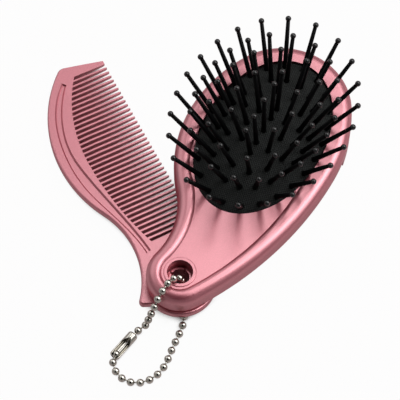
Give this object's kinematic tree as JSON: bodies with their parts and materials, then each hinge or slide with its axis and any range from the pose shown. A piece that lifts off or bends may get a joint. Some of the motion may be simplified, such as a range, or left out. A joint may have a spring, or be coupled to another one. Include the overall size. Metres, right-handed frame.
{
  "type": "folding pocket hair brush with comb",
  "caption": "Pocket hair brush with a rubber pin cushion, a comb that swings out on the tail pivot and a bead chain through its eye.",
  "frame": {"origin": "on the comb's pivot axis, at the height of the brush's flat underside", "axes": "+Y from the pivot towards the brush's head, +Z out of the pin face along the pivot axis, +X to the right seen from the pin side"},
  "size_m": [0.1066, 0.1356, 0.0369],
  "materials": {
    "pink_plastic": "pearl rose-pink moulded plastic, semi-gloss",
    "cushion_rubber": "black rubber with a fine woven grain",
    "pin_nylon": "glossy black nylon",
    "nickel": "bright nickel plate"
  },
  "bodies": {
    "brush": {"handle_shell": "pink_plastic", "cushion": "cushion_rubber", "pins_outer_ring": "pin_nylon", "pins_second_ring": "pin_nylon", "pins_third_ring": "pin_nylon", "pins_fourth_ring": "pin_nylon", "pins_middle_row": "pin_nylon"},
    "comb": {"comb": "pink_plastic"},
    "chain": {"chain_bead_01": "nickel", "chain_bead_02": "nickel", "chain_bead_03": "nickel", "chain_bead_04": "nickel", "chain_bead_05": "nickel", "chain_bead_06": "nickel", "chain_bead_07": "nickel", "chain_bead_08": "nickel", "chain_bead_09": "nickel", "chain_bead_10": "nickel", "chain_bead_11": "nickel", "chain_bead_12": "nickel", "chain_bead_13": "nickel", "chain_bead_14": "nickel", "chain_bead_15": "nickel", "chain_bead_16": "nickel", "chain_bead_17": "nickel", "chain_bead_18": "nickel", "chain_bead_19": "nickel", "chain_bead_20": "nickel", "chain_bead_21": "nickel", "chain_bead_22": "nickel", "chain_bead_23": "nickel", "chain_bead_24": "nickel", "chain_bead_25": "nickel", "chain_bead_26": "nickel", "chain_bead_27": "nickel", "chain_bead_28": "nickel", "chain_bead_29": "nickel", "chain_bead_30": "nickel", "chain_bead_31": "nickel", "chain_links": "nickel", "chain_connector": "nickel"}
  },
  "joints": [
    {"name": "comb_swing", "type": "hinge", "parent": "brush", "child": "comb", "pos_m": [0, 0, 0], "axis": [0, 0, 1], "range_deg": [-48, 70]},
    {"name": "chain_swing", "type": "hinge", "parent": "brush", "child": "chain", "pos_m": [0, 0, 0], "axis": [0, 0, 1], "range_deg": [-4, 40]}
  ]
}
